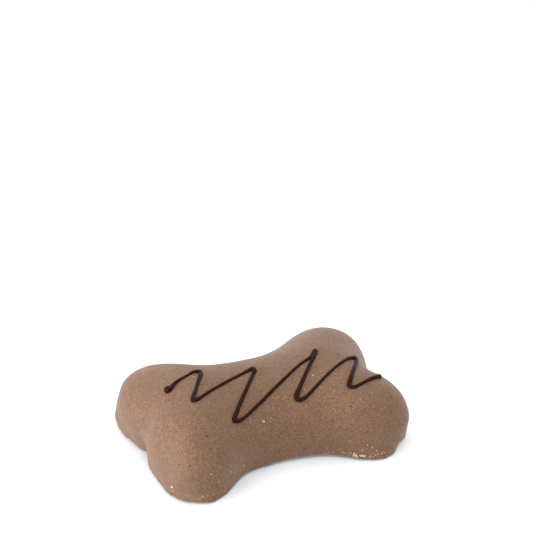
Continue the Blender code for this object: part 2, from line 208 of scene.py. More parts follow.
@dataclass(frozen=True)
class BoneForm:
    """The smooth form of the loaf: a broad bar blended with four lobes, in metres."""

    bar_half_length: float = 33.5 * MM
    bar_radius: float = 34.2 * MM
    bar_height: float = 39.3 * MM
    bar_fullness: float = 2.03
    bar_bow: float = 0.8 * MM
    bar_bow_span: float = 53.0 * MM
    flank_height: float = 9.0 * MM
    lobe_fullness: float = 2.28
    lobe_blend: tuple[float, float] = (3.0 * MM, 24.9 * MM)
    lobe_blend_rise: float = 21.0 * MM
    bar_blend: tuple[float, float] = (31.3 * MM, 42.2 * MM)
    bar_blend_rise: float = 29.2 * MM
    left_lobes: tuple[Lobe, Lobe] = (
        Lobe(-55.7 * MM, 33.9 * MM, 15.2 * MM, 1.00, 25.3 * MM),
        Lobe(-49.6 * MM, -33.4 * MM, 12.4 * MM, 0.94, 25.6 * MM),
    )
    right_lobes: tuple[Lobe, Lobe] = (
        Lobe(57.8 * MM, 34.7 * MM, 17.5 * MM, 1.00, 26.5 * MM),
        Lobe(53.7 * MM, -36.4 * MM, 12.8 * MM, 1.28, 28.7 * MM),
    )
    clefts: tuple[Cleft, Cleft] = (
        Cleft(-1, 0.4 * MM, 6.1 * MM, 4.2 * MM, 20.0 * MM),
        Cleft(1, -6.8 * MM, 8.8 * MM, 5.1 * MM, 41.6 * MM),
    )
    cleft_start: float = 65.7 * MM
    cleft_length: float = 9.5 * MM
    # Each row is a mark's x, y, z, spread, rise and how far it stands out, in millimetres
    marks: tuple[Mark, ...] = tuple(
        Mark(*(size * MM for size in row))
        for row in (
            (-74.6, 34.8, 6.0, 6.0, 5.0, 1.2),
            (-70.7, 38.0, 17.9, 6.0, 5.0, -0.7),
            (-54.4, 42.6, 29.1, 13.0, 9.0, 0.3),
            (-70.4, 13.9, 1.3, 6.0, 9.0, -0.9),
            (-69.0, 6.0, 1.0, 6.0, 6.0, -0.4),
            (-67.3, -24.8, 1.6, 6.0, 5.0, -0.6),
            (-57.3, -43.6, 0.0, 6.0, 5.0, -0.7),
            (-46.3, -47.7, 0.0, 6.0, 5.0, 0.8),
            (-20.4, -33.4, 0.5, 9.0, 5.0, -0.6),
            (27.6, -38.4, 0.0, 13.0, 9.0, -1.0),
            (44.4, -50.4, 0.0, 6.0, 5.0, 0.6),
            (51.5, -51.3, 0.0, 6.0, 5.0, 2.0),
            (65.0, -45.8, 1.0, 6.0, 5.0, -2.4),
            (-6.0, -36.5, 0.0, 28.0, 6.0, -0.9),
            (6.0, -36.5, 0.0, 26.0, 6.0, 1.3),
            (71.9, -41.4, 15.0, 13.0, 5.0, 0.5),
            (60.9, -14.9, 32.2, 6.0, 5.0, -0.5),
            (69.2, 2.9, 21.0, 6.0, 5.0, -0.5),
            (-8.4, 22.1, 33.2, 13.0, 9.0, 0.3),
            (9.0, -30.0, 27.0, 14.0, 12.0, 1.2),
            (28.7, -43.6, 15.4, 14.0, 12.0, -1.0),
            (-10.6, -32.3, 19.2, 14.0, 12.0, 0.8),
            (-39.4, -44.5, 24.9, 8.0, 8.0, 0.7),
            (-63.0, -36.0, 25.3, 12.0, 12.0, -2.5),
            (-66.0, -27.0, 24.0, 12.0, 12.0, -1.5),
            (-57.5, -36.0, 30.0, 8.0, 8.0, 1.3),
            (-59.0, -44.0, 21.0, 7.0, 8.0, 0.5),
            (-58.5, -42.0, 13.0, 9.0, 9.0, 0.3),
            (-66.0, -33.0, 13.0, 9.0, 9.0, -0.4),
            (-67.0, -3.6, 20.0, 8.0, 8.0, -1.2),
            (-64.5, -3.4, 28.0, 7.5, 8.0, -0.9),
        )
    )
    foot_spread: float = 0.6 * MM
    foot_height: float = 13.3 * MM
    foot_sharpness: float = 7.0
    groove_depth: float = 0.3 * MM
    groove_height: float = 10.6 * MM
    groove_width: float = 3.2 * MM
    edge_height: float = 1.7 * MM
    edge_inset: float = 1.6 * MM
    waist_edge_rise: float = 1.3 * MM
    waist_edge_inset: float = 9.5 * MM
    waist_middle: float = 6.0 * MM
    waist_half_length: float = 44.0 * MM
    core_reach: float = 42.0 * MM
    reach_past: float = 1.5
    swell: float = 0.35 * MM
    swell_spacing: float = 21.0 * MM
    halvings: int = 34
    normal_step: float = 0.3 * MM

    def dome(
        self, across: np.ndarray, up: np.ndarray, radius: float, height: float, fullness: float
    ) -> np.ndarray:
        """Rough distance to a dome, whose side view is a super-ellipse.

        Args:
            across: Distances from the dome's axis.
            up: Heights over the flank.
            radius: The dome's radius.
            height: Its height over the flank.
            fullness: The super-ellipse's power.

        Returns:
            Distances, below zero inside the dome.
        """
        across_part = (across / radius) ** fullness
        up_part = (up / height) ** fullness
        size = (across_part + up_part) ** (1.0 / fullness) + TINY
        growth = size ** (1.0 - fullness)
        slope_across = growth * across_part / np.maximum(across, TINY)
        slope_up = growth * up_part / np.maximum(up, TINY)
        return (size - 1.0) / (np.hypot(slope_across, slope_up) + TINY)

    def lobe(self, lobe: Lobe, x: np.ndarray, y: np.ndarray, up: np.ndarray) -> np.ndarray:
        """Rough distance to one lobe."""
        across = np.hypot((x - lobe.x) / lobe.stretch, y - lobe.y)
        return self.dome(across, up, lobe.radius, lobe.height - self.flank_height, self.lobe_fullness)

    def bar(self, x: np.ndarray, y: np.ndarray, up: np.ndarray) -> np.ndarray:
        """Rough distance to the broad bar.

        Args:
            x: Places along the bone.
            y: Places across it.
            up: Heights over the flank.

        Returns:
            Distances, below zero inside the bar.
        """
        past_end = np.maximum(np.abs(x) - self.bar_half_length, 0.0)
        off_line = y - self.bar_bow * (1.0 - (x / self.bar_bow_span) ** 2)
        across = np.hypot(past_end, off_line)
        height = self.bar_height - self.flank_height
        return self.dome(across, up, self.bar_radius, height, self.bar_fullness)

    def cleft(self, cleft: Cleft, x: np.ndarray, y: np.ndarray, z: np.ndarray) -> np.ndarray:
        """How deep one cleft lies at each point.

        Args:
            cleft: The cleft.
            x: Places along the bone.
            y: Places across it.
            z: Heights.

        Returns:
            Depths, none below zero.
        """
        short_of_end = np.maximum(self.cleft_start - cleft.end * x, 0.0) / self.cleft_length
        beside = (y - cleft.y) / cleft.width
        fade = np.clip(1.0 - z / cleft.height, 0.0, 1.0)
        return cleft.depth * np.exp(-(beside**2) - short_of_end**2) * fade

    def mark(self, mark: Mark, x: np.ndarray, y: np.ndarray, z: np.ndarray) -> np.ndarray:
        """How far one dent or bulge stands out at each point."""
        beside = ((x - mark.x) ** 2 + (y - mark.y) ** 2) / mark.spread**2
        return mark.out * np.exp(-beside - ((z - mark.z) / mark.rise) ** 2)

    def foot(self, x: np.ndarray, z: np.ndarray) -> np.ndarray:
        """How far the skin stands out at the foot, less the groove and the turned-in edge.

        Args:
            x: Places along the bone.
            z: Heights.

        Returns:
            How far the skin stands out, below zero where it is set back.
        """
        foot = self.foot_spread / (1.0 + np.exp(self.foot_sharpness * (z / self.foot_height - 1.0)))
        groove = self.groove_depth * np.exp(-(((z - self.groove_height) / self.groove_width) ** 2))
        waist = smooth_step(1.0 - np.abs(x - self.waist_middle) / self.waist_half_length)
        inset = self.edge_inset + self.waist_edge_inset * waist
        height = self.edge_height + self.waist_edge_rise * waist
        edge = inset * np.clip(1.0 - z / height, 0.0, 1.0) ** 2
        return foot - groove - edge

    def distance(self, points: np.ndarray) -> np.ndarray:
        """Rough distance from points to the loaf's skin.

        Args:
            points: One row of x, y and z for each point.

        Returns:
            Distances, below zero inside the loaf.
        """
        x, y, z = points.T
        up = np.maximum(z - self.flank_height, 0.0)
        low, high = self.lobe_blend
        lobe_blend = low + (high - low) * smooth_step(z / self.lobe_blend_rise)
        low, high = self.bar_blend
        bar_blend = low + (high - low) * smooth_step(z / self.bar_blend_rise)
        left, right = (
            blended(*(self.lobe(lobe, x, y, up) for lobe in pair), lobe_blend)
            for pair in (self.left_lobes, self.right_lobes)
        )
        distance = blended(np.minimum(left, right), self.bar(x, y, up), bar_blend)
        for cleft in self.clefts:
            distance = distance + self.cleft(cleft, x, y, z)
        for mark in self.marks:
            distance = distance - self.mark(mark, x, y, z)
        return distance - self.foot(x, z)

    def skin_between(self, inner: np.ndarray, outer: np.ndarray) -> np.ndarray:
        """Finds the skin on the way from inner points to outer ones.

        Args:
            inner: Points inside the loaf.
            outer: Points outside it, one for each inner point.

        Returns:
            The points of the skin between them.
        """
        way = outer - inner
        low = np.zeros(len(inner))
        high = np.ones(len(inner))
        for _ in range(self.halvings):
            middle = (low + high) / 2.0
            inside = self.distance(inner + way * middle[:, None]) < 0.0
            low = np.where(inside, middle, low)
            high = np.where(inside, high, middle)
        return inner + way * low[:, None]

    def normals(self, points: np.ndarray) -> np.ndarray:
        """Finds the way out of the skin.

        Args:
            points: Points on the skin.

        Returns:
            One unit vector for each point.
        """
        shifts = np.eye(3) * self.normal_step
        slopes = [self.distance(points + shift) - self.distance(points - shift) for shift in shifts]
        normals = np.stack(slopes, axis=1)
        return normals / np.linalg.norm(normals, axis=1, keepdims=True)

    def over_plan(self, places: np.ndarray) -> tuple[np.ndarray, np.ndarray]:
        """The skin over places on plan.

        Args:
            places: One row of x and y for each place.

        Returns:
            Points on the skin, and the unit vectors out of it there.
        """
        low = np.column_stack([places, np.zeros(len(places))])
        skin = self.skin_between(low, low + np.array([0.0, 0.0, self.bar_height * self.reach_past]))
        return skin, self.normals(skin)


@dataclass(frozen=True)
class Pattern:
    """Makes the nodes of one material's pattern. Its place is where a point lies on the
    piece, in metres."""

    tree: bpy.types.NodeTree
    shader: bpy.types.Node
    place: bpy.types.NodeSocket

    def node(self, kind: str, inputs: dict[str | int, Any], **settings: str) -> bpy.types.Node:
        """Adds a node with its settings and links.

        Args:
            kind: The node's type.
            inputs: For each input socket, a value or the output socket that feeds it.
            settings: The node's own properties.

        Returns:
            The new node.
        """
        node = self.tree.nodes.new(kind)
        for name, value in settings.items():
            setattr(node, name, value)
        for name, value in inputs.items():
            if isinstance(value, bpy.types.NodeSocket):
                self.tree.links.new(value, node.inputs[name])
            else:
                node.inputs[name].default_value = value
        return node

    def noise(self, size_mm: float, detail: float, roughness: float = 0.5) -> bpy.types.NodeSocket:
        """Adds a cloudy noise.

        Args:
            size_mm: How wide its clouds are.
            detail: How many finer layers it has.
            roughness: How strong the finer layers are.

        Returns:
            Its value.
        """
        inputs = {
            "Vector": self.place,
            "Scale": per_metre(size_mm),
            "Detail": detail,
            "Roughness": roughness,
        }
        return self.node("ShaderNodeTexNoise", inputs).outputs["Fac"]

    def stretched(
        self, value: bpy.types.NodeSocket, span: tuple[float, float], most: float = 1.0
    ) -> bpy.types.NodeSocket:
        """Stretches a value's span to run from 0 to the most.

        Args:
            value: The value.
            span: The two ends of its span.
            most: What the upper end becomes.

        Returns:
            The stretched value.
        """
        inputs = {"Value": value, "From Min": span[0], "From Max": span[1], "To Max": most}
        return self.node("ShaderNodeMapRange", inputs).outputs["Result"]

    def mixed(
        self, factor: bpy.types.NodeSocket, under: bpy.types.NodeSocket | str, over: str
    ) -> bpy.types.NodeSocket:
        """Mixes a hex colour over another colour.

        Args:
            factor: How much of the upper colour shows.
            under: The lower colour, in hex or as the socket that gives it.
            over: The upper colour, in hex.

        Returns:
            The mixed colour.
        """
        lower = linear(under) if isinstance(under, str) else under
        inputs = {"Factor": factor, 6: lower, 7: linear(over)}
        return self.node("ShaderNodeMix", inputs, data_type="RGBA").outputs[2]

    def colour(self, mixed: bpy.types.NodeSocket) -> None:
        """Makes a mixed colour the material's own."""
        self.tree.links.new(mixed, self.shader.inputs["Base Color"])

    def bump(self, height: bpy.types.NodeSocket, depth_mm: float, strength: float) -> None:
        """Roughens the face.

        Args:
            height: The value that gives the relief.
            depth_mm: How deep it is.
            strength: How much of it shows.
        """
        inputs = {"Strength": strength, "Distance": depth_mm * MM, "Height": height}
        bump = self.node("ShaderNodeBump", inputs)
        self.tree.links.new(bump.outputs["Normal"], self.shader.inputs["Normal"])


@dataclass(frozen=True)
class Finish:
    """A Principled material. Each subclass adds its own pattern."""

    name: str
    roughness: float
    specular: float
    ior: float = 1.45

    def material(self) -> bpy.types.Material:
        """Makes the material and its pattern.

        Returns:
            The finished material.
        """
        made = bpy.data.materials.new(self.name)
        made.use_nodes = True
        tree = made.node_tree
        shader = tree.nodes["Principled BSDF"]
        shader.inputs["Roughness"].default_value = self.roughness
        shader.inputs["Specular IOR Level"].default_value = self.specular
        shader.inputs["IOR"].default_value = self.ior
        place = tree.nodes.new("ShaderNodeTexCoord").outputs["Object"]
        self.dress(Pattern(tree, shader, place))
        return made

    def dress(self, pattern: Pattern) -> None:
        """Adds what varies over the surface. The plain finish has none."""


@dataclass(frozen=True)
class CarobCoating(Finish):
    """Carob coating, poured and set dull. Ground carob and flour in it leave a sandy
    speckle and a matt face, which turns paler where it is seen edge on."""

    name: str = "carob_coating_poured_matt"
    roughness: float = 0.75
    specular: float = 0.335
    ground: str = "#6C4E37"
    deep: str = "#654731"
    pale: str = "#785A44"
    dark_grain: str = "#3B261A"
    pale_grain: str = "#92765F"
    mottle_mm: float = 7.0
    mottle_span: tuple[float, float] = (0.3, 0.7)
    speckle_mm: float = 0.9
    speckle_span: tuple[float, float] = (0.42, 0.75)
    grain_mm: float = 0.55
    dark_span: tuple[float, float] = (0.72, 1.0)
    dark_most: float = 0.55
    pale_span: tuple[float, float] = (0.75, 1.0)
    pale_most: float = 0.45
    sheen: float = 0.15
    sheen_roughness: float = 0.5
    relief_mm: float = 0.10
    relief_strength: float = 0.6

    def dress(self, pattern: Pattern) -> None:
        """Adds cloudy mottling, a sandy speckle, loose grains and a rough face.

        Args:
            pattern: Makes the material's nodes.
        """
        mottle = pattern.noise(self.mottle_mm, detail=3.0, roughness=0.6)
        clouded = pattern.mixed(pattern.stretched(mottle, self.mottle_span), self.deep, self.ground)
        speckle = pattern.noise(self.speckle_mm, detail=2.0, roughness=0.7)
        speckled = pattern.mixed(pattern.stretched(speckle, self.speckle_span), clouded, self.pale)
        cells = {"Vector": pattern.place, "Scale": per_metre(self.grain_mm), "Randomness": 1.0}
        grains = pattern.node("ShaderNodeTexVoronoi", cells)
        draws = pattern.node("ShaderNodeSeparateColor", {"Color": grains.outputs["Color"]})
        dark = pattern.stretched(draws.outputs["Red"], self.dark_span, self.dark_most)
        darkened = pattern.mixed(dark, speckled, self.dark_grain)
        bright = pattern.stretched(draws.outputs["Green"], self.pale_span, self.pale_most)
        pattern.colour(pattern.mixed(bright, darkened, self.pale_grain))
        pattern.bump(speckle, self.relief_mm, self.relief_strength)
        pattern.shader.inputs["Sheen Weight"].default_value = self.sheen
        pattern.shader.inputs["Sheen Roughness"].default_value = self.sheen_roughness


@dataclass(frozen=True)
class DarkIcing(Finish):
    """Dark chocolate-brown icing, piped and set. It dried to a satin skin, so it takes
    a soft long highlight and shows the faint ripple of the bag."""

    name: str = "dark_icing_piped_satin"
    roughness: float = 0.5
    specular: float = 0.08
    body: str = "#210E07"
    worn: str = "#29130B"
    ripple_mm: float = 2.2
    ripple_depth_mm: float = 0.1
    ripple_strength: float = 0.3

    def dress(self, pattern: Pattern) -> None:
        """Adds slight changes of tone and a faint ripple.

        Args:
            pattern: Makes the material's nodes.
        """
        ripple = pattern.noise(self.ripple_mm, detail=2.0)
        pattern.colour(pattern.mixed(ripple, self.body, self.worn))
        pattern.bump(ripple, self.ripple_depth_mm, self.ripple_strength)


@dataclass(frozen=True)
class TwoToned(Finish):
    """A dull finish that drifts between two close tones."""

    tone: str = "#FFFFFF"
    shade: str = "#FFFFFF"
    drift_mm: float = 3.0

    def dress(self, pattern: Pattern) -> None:
        """Adds the drift of tone.

        Args:
            pattern: Makes the material's nodes.
        """
        drift = pattern.noise(self.drift_mm, detail=1.0)
        pattern.colour(pattern.mixed(drift, self.shade, self.tone))


@dataclass(frozen=True)
class GroundGrain(TwoToned):
    """A dry grain in or on the coating, such as bran, oat or beet: dull, and slightly
    uneven in tone from one grain to the next."""

    roughness: float = 0.85
    specular: float = 0.3


@dataclass(frozen=True)
class SeamlessPaper(TwoToned):
    """White seamless background paper, unrolled flat: dull, with a very faint tooth. Its
    white leans to the cool side, so the shadows on it stay neutral beside the cake."""

    name: str = "seamless_paper_white"
    roughness: float = 0.9
    specular: float = 0.1
    tone: str = "#F1F5F9"
    shade: str = "#EEF2F6"
    drift_mm: float = 2.0


@dataclass
class CoatedLoaf:
    """The coated cake: a box cut into a fine grid and pushed out to the bone's skin."""

    form: BoneForm
    name: str = "coated_loaf"
    box: tuple[float, float, float] = (152.0 * MM, 105.0 * MM, 41.0 * MM)
    pieces: tuple[int, int, int] = (62, 42, 15)
    grading: float = 1.5
    splits: int = 3
    crag: float = 0.5 * MM
    crag_spacing: float = 7.0 * MM
    crag_height: float = 8.0 * MM
    rim: float = 0.28 * MM
    rim_spacing: float = 1.9 * MM
    rim_height: float = 5.0 * MM
    grain: float = 0.05 * MM
    grain_spacing: float = 1.6 * MM
    smooth_angle: float = 50.0

    def cuts(self, axis: int) -> list[float]:
        """Where the box is cut across one axis.

        Args:
            axis: 0 along the bone, 1 across it, 2 upwards.

        Returns:
            Places along that axis, closest together at the base on the upward one.
        """
        count = self.pieces[axis]
        size = self.box[axis]
        if axis == 2:
            return [size * (i / count) ** self.grading for i in range(1, count)]
        return [size * (i / count - 0.5) for i in range(1, count)]

    def cut_box(self) -> bpy.types.Object:
        """Makes the box, opens its base and cuts it into a fine grid.

        Returns:
            The open box, in object mode.
        """
        deselect_all()
        bpy.ops.mesh.primitive_cube_add(size=1.0, location=(0.0, 0.0, self.box[2] / 2.0), scale=self.box)
        block = bpy.context.object
        block.name = block.data.name = self.name
        bpy.ops.object.transform_apply(location=True, rotation=True, scale=True)
        bpy.ops.object.mode_set(mode="EDIT")
        bpy.ops.mesh.select_mode(type="FACE")
        bpy.ops.object.mode_set(mode="OBJECT")
        for face in block.data.polygons:
            face.select = face.normal.z < DOWNWARD
        bpy.ops.object.mode_set(mode="EDIT")
        bpy.ops.mesh.delete(type="ONLY_FACE")
        for axis in range(3):
            across = [0.0, 0.0, 0.0]
            across[axis] = 1.0
            for place in self.cuts(axis):
                bpy.ops.mesh.select_all(action="SELECT")
                bpy.ops.mesh.bisect(plane_co=[place * part for part in across], plane_no=across)
        bpy.ops.mesh.select_all(action="SELECT")
        bpy.ops.mesh.subdivide(number_cuts=self.splits)
        bpy.ops.object.mode_set(mode="OBJECT")
        return block

    def relief(self, point: Vector) -> float:
        """How far the hand-made skin stands off the smooth form.

        Args:
            point: A point on the smooth form.

        Returns:
            How far out of the form the skin lies there, in metres.
        """
        form = self.form
        swell = form.swell * noise.noise(point / form.swell_spacing)
        crag_fade = max(0.0, 1.0 - point.z / self.crag_height)
        crag = self.crag * crag_fade * noise.noise(point / self.crag_spacing)
        rim_fade = max(0.0, 1.0 - point.z / self.rim_height)
        rim = self.rim * rim_fade * noise.noise(point / self.rim_spacing)
        grain = self.grain * noise.noise(point / self.grain_spacing)
        return swell + crag + rim + grain

    def push_out(self, block: bpy.types.Object) -> None:
        """Moves the box's corners out to the bone's skin and gives it its relief.

        Args:
            block: The cut box.
        """
        corners = coordinates(block.data)
        core = np.zeros_like(corners)
        core[:, 0] = np.clip(corners[:, 0], -self.form.core_reach, self.form.core_reach)
        skin = self.form.skin_between(core, core + (corners - core) * self.form.reach_past)
        normals = self.form.normals(skin)
        heights = np.array([self.relief(Vector(point)) for point in skin])
        pushed = skin + normals * heights[:, None]
        pushed[:, 2] = np.where(skin[:, 2] < TINY, 0.0, np.maximum(pushed[:, 2], TINY))
        place_coordinates(block.data, pushed)

    def close_base(self, block: bpy.types.Object) -> None:
        """Closes the flat base.

        Args:
            block: The pushed-out box, open below.
        """
        select_only(block)
        bpy.ops.object.mode_set(mode="EDIT")
        bpy.ops.mesh.select_mode(type="EDGE")
        bpy.ops.mesh.select_all(action="DESELECT")
        bpy.ops.mesh.select_non_manifold()
        bpy.ops.mesh.edge_face_add()
        bpy.ops.mesh.quads_convert_to_tris(ngon_method="BEAUTY")
        bpy.ops.mesh.select_all(action="SELECT")
        bpy.ops.mesh.normals_make_consistent(inside=False)
        bpy.ops.object.mode_set(mode="OBJECT")

    def build(self) -> bpy.types.Object:
        """Models the loaf about the bar's middle.

        Returns:
            The loaf.
        """
        block = self.cut_box()
        self.push_out(block)
        self.close_base(block)
        select_only(block)
        bpy.ops.object.shade_smooth_by_angle(angle=math.radians(self.smooth_angle))
        return block

    def dress(self, loaf: bpy.types.Object) -> None:
        """Gives the loaf its coating."""
        loaf.data.materials.append(CarobCoating().material())


@dataclass
class PipedDrizzle:
    """The zigzag, piped in one go: a bead of uneven width that swells where it turns."""

    form: BoneForm
    name: str = "piped_drizzle"
    first_drop: Spot = (-52.0, 1.8, 4.4)
    strokes: tuple[tuple[Spot, ...], ...] = (
        (
            (-50.5, 2.0, 2.7), (-47.6, 4.5, 2.2), (-43.6, 6.4, 1.8), (-38.3, 8.5, 1.7),
            (-34.5, 10.5, 2.2),
        ),
        (
            (-31.6, 9.3, 2.7), (-32.5, 5.5, 2.5), (-35.5, 0.1, 2.2), (-39.7, -7.1, 2.0),
        ),
        (
            (-43.4, -14.0, 2.8), (-41.6, -14.3, 2.3), (-38.7, -13.2, 1.8), (-31.1, -9.2, 1.7),
            (-20.5, -4.2, 1.8), (-11.6, -0.8, 1.8), (-6.7, 0.9, 2.3),
        ),
        (
            (-3.5, 1.5, 2.8), (-3.3, -0.4, 2.7), (-5.2, -3.1, 2.1), (-11.9, -11.0, 2.1),
            (-17.9, -17.9, 2.2), (-22.0, -22.8, 2.3),
        ),
        (
            (-26.7, -29.2, 2.6), (-23.9, -28.9, 2.3), (-20.1, -27.2, 1.8), (-12.3, -22.9, 1.9),
            (-3.1, -18.3, 1.9), (9.8, -11.6, 1.8), (22.5, -4.6, 1.6), (31.0, -1.0, 2.1),
        ),
        (
            (34.7, 2.2, 3.2), (32.9, -0.9, 2.5), (27.2, -7.1, 2.1), (19.4, -15.4, 2.2),
            (15.4, -19.6, 2.4),
        ),
        (
            (10.8, -25.0, 2.9), (12.6, -26.4, 2.5), (15.5, -26.2, 2.1), (19.0, -24.9, 1.9),
            (27.8, -20.8, 1.7), (36.9, -16.2, 1.6), (45.4, -11.3, 1.7), (51.5, -7.8, 2.2),
        ),
        (
            (55.9, -6.1, 2.6), (54.9, -9.3, 2.4), (52.3, -13.6, 2.3), (46.6, -21.1, 2.2),
            (42.4, -26.4, 2.5),
        ),
        (
            (39.5, -30.6, 2.7), (41.2, -32.2, 2.2), (44.8, -31.9, 1.9), (50.3, -30.2, 2.1),
            (58.6, -26.9, 2.9), (59.8, -26.4, 3.2),
        ),
    )
    step: float = 0.5 * MM
    rise: float = 0.22
    flatness: float = 0.86
    drop_segments: int = 20
    drop_rings: int = 12
    voxel: float = 0.2 * MM
    smoothing: int = 4
    smoothing_factor: float = 0.5

    def line(self) -> np.ndarray:
        """Runs a smooth line through the spots.

        Returns:
            One row of x, y and width for each step along the line, in metres.
        """
        spots = np.array([spot for stroke in self.strokes for spot in stroke]) * MM
        runs = np.hypot(*np.diff(spots[:, :2], axis=0).T)
        knots = np.concatenate([[0.0], np.cumsum(np.sqrt(runs))])
        slopes = np.gradient(spots, knots, axis=0)
        pieces = []
        for i, run in enumerate(runs):
            way = np.linspace(0.0, 1.0, max(2, round(run / self.step)), endpoint=False)[:, None]
            span = knots[i + 1] - knots[i]
            rise = smooth_step(way)
            leaving = slopes[i] * span * way * (1.0 - way) ** 2
            arriving = slopes[i + 1] * span * way * way * (way - 1.0)
            pieces.append(spots[i] * (1.0 - rise) + spots[i + 1] * rise + leaving + arriving)
        return np.concatenate([*pieces, spots[-1:]])

    def drop(self) -> bpy.types.Object:
        """Models one flattened drop of icing, a metre wide, to be copied at its true size.

        Returns:
            The drop.
        """
        deselect_all()
        bpy.ops.mesh.primitive_uv_sphere_add(
            segments=self.drop_segments, ring_count=self.drop_rings, radius=0.5
        )
        drop = bpy.context.object
        bpy.ops.object.mode_set(mode="EDIT")
        bpy.ops.mesh.select_all(action="SELECT")
        bpy.ops.transform.resize(value=(1.0, 1.0, self.flatness), center_override=(0.0, 0.0, 0.0))
        bpy.ops.object.mode_set(mode="OBJECT")
        return drop

    def build(self) -> bpy.types.Object:
        """Lays a close row of drops along the line and melts them into one bead.

        Returns:
            The drizzle, as one closed bead.
        """
        row = np.concatenate([np.array([self.first_drop]) * MM, self.line()])
        skin, normals = self.form.over_plan(row[:, :2])
        placings = [
            Matrix.LocRotScale(
                Vector(place + normal * width * self.rise),
                Vector(normal).to_track_quat("Z", "Y"),
                Vector((width, width, width)),
            )
            for place, normal, width in zip(skin, normals, row[:, 2])
        ]
        bead = joined_copies(self.drop(), placings, self.name)
        bpy.ops.object.modifier_add(type="REMESH")
        melt = bead.modifiers[-1]
        melt.mode = "VOXEL"
        melt.voxel_size = self.voxel
        bpy.ops.object.modifier_apply(modifier=melt.name)
        bpy.ops.object.modifier_add(type="SMOOTH")
        even = bead.modifiers[-1]
        even.factor = self.smoothing_factor
        even.iterations = self.smoothing
        bpy.ops.object.modifier_apply(modifier=even.name)
        bpy.ops.object.shade_smooth()
        return bead

    def dress(self, bead: bpy.types.Object) -> None:
        """Gives the drizzle its icing."""
        bead.data.materials.append(DarkIcing().material())


@dataclass
class PhotoCamera:
    """The camera at the photograph's angle, worked out about the bar's middle."""

    shift: Vector
    azimuth: float = -23.1
    elevation: float = 27.14
    distance: float = 562.4 * MM
    pixels_per_mm: float = 1.7623
    bar_pixel: tuple[float, float] = (259.985, 428.089)
    sensor: float = 36.0
    clip_start: float = 0.01

    def axes(self) -> Matrix:
        """Finds which way the camera is turned.

        Returns:
            Its right, up and back directions, one to a column.
        """
        back = way_out(self.azimuth, self.elevation)
        turn = math.radians(self.azimuth)
        right = Vector((math.cos(turn), math.sin(turn), 0.0))
        return Matrix((right, back.cross(right), back)).transposed()

    def eye(self) -> Vector:
        """Finds where the camera stands.

        Returns:
            Its place.
        """
        across = (self.bar_pixel[0] - PHOTO_SIDE / 2.0) / self.pixels_per_mm * MM
        down = (self.bar_pixel[1] - PHOTO_SIDE / 2.0) / self.pixels_per_mm * MM
        return self.axes() @ Vector((-across, down, self.distance)) + self.shift

    def ray(self, x: float, y: float) -> Vector:
        """Finds the direction through a pixel of the photograph.

        Args:
            x: How far right the pixel lies.
            y: How far down it lies.

        Returns:
            The unit vector from the camera through it.
        """
        side = self.pixels_per_mm * self.distance / MM
        right, down = (x - PHOTO_SIDE / 2.0) / side, (y - PHOTO_SIDE / 2.0) / side
        return (self.axes() @ Vector((right, -down, -1.0))).normalized()

    def build(self) -> bpy.types.Object:
        """Places the camera.

        Returns:
            The camera.
        """
        deselect_all()
        bpy.ops.object.camera_add(location=self.eye(), rotation=self.axes().to_euler())
        camera = bpy.context.object
        camera.name = "photo_camera"
        camera.data.sensor_width = self.sensor
        camera.data.lens = self.pixels_per_mm * self.distance / MM / PHOTO_SIDE * self.sensor
        camera.data.clip_start = self.clip_start
        bpy.context.scene.camera = camera
        return camera


class GrainKind(Enum):
    """The kinds of dry grain in and on the coating."""

    BRAN = "bran_specks"
    OAT = "oat_specks"
    FLOUR = "flour_crumbs"
    BISCUIT = "biscuit_crumbs"
    BEET = "beet_specks"
    MAIZE = "maize_specks"


@dataclass(frozen=True)
class Drift:
    """Crumbs caught along the foot, between two pixels of the photograph."""

    first: tuple[float, float]
    last: tuple[float, float]
    count: int
    spread: float
    sizes: tuple[float, float] = (0.35, 0.8)
    flatness: float = 0.6


